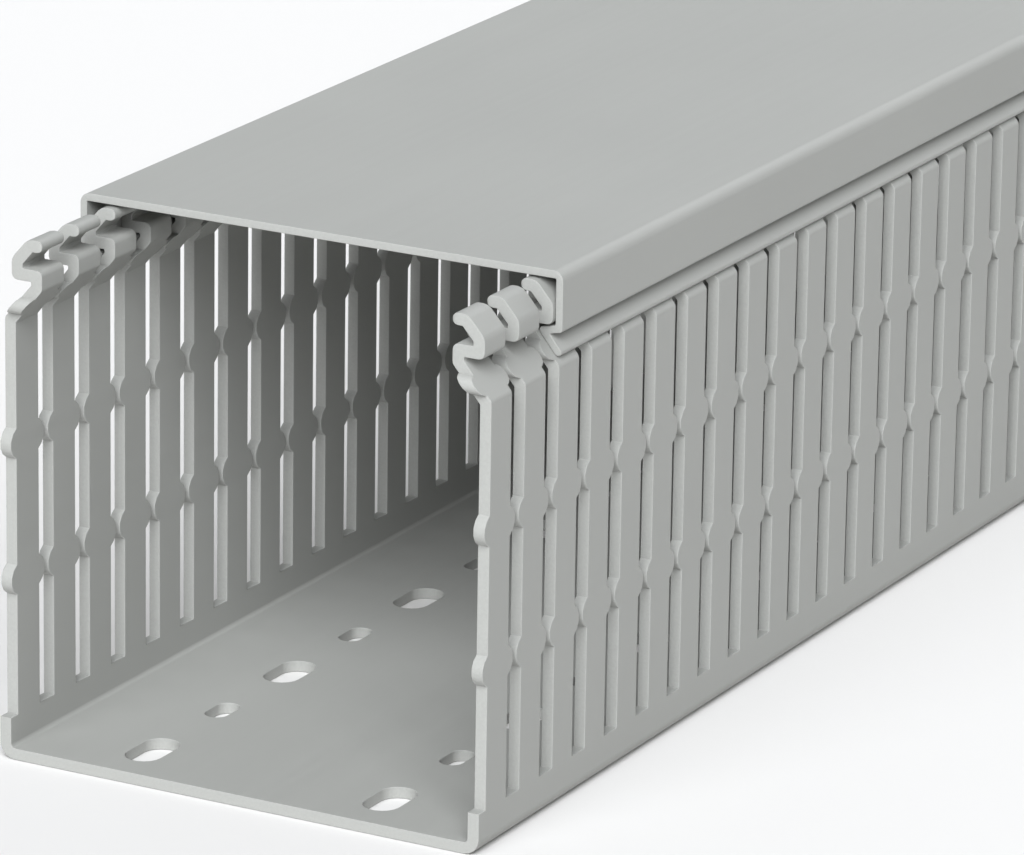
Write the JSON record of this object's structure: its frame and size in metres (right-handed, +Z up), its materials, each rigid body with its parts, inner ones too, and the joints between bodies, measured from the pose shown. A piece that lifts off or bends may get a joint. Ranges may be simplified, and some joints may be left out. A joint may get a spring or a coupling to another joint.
{
  "type": "slotted wire duct",
  "caption": "Grey plastic slotted wiring duct with hooked finger walls, punched base and a clip-on cover that slides along it.",
  "frame": {"origin": "middle of the trough's underside", "axes": "+X across the duct, +Y along it towards the end that the cover is slid to, +Z up"},
  "size_m": [0.1, 1.0283, 0.1009],
  "materials": {
    "grey_pvc": "smooth extruded rigid PVC, soft satin"
  },
  "bodies": {
    "trough": {"trough": "grey_pvc"},
    "cover": {"cover": "grey_pvc"}
  },
  "joints": [
    {"name": "cover_slide", "type": "slide", "parent": "trough", "child": "cover", "axis": [0, 1, 0], "range_m": [-0.0283, 0.4717]}
  ]
}
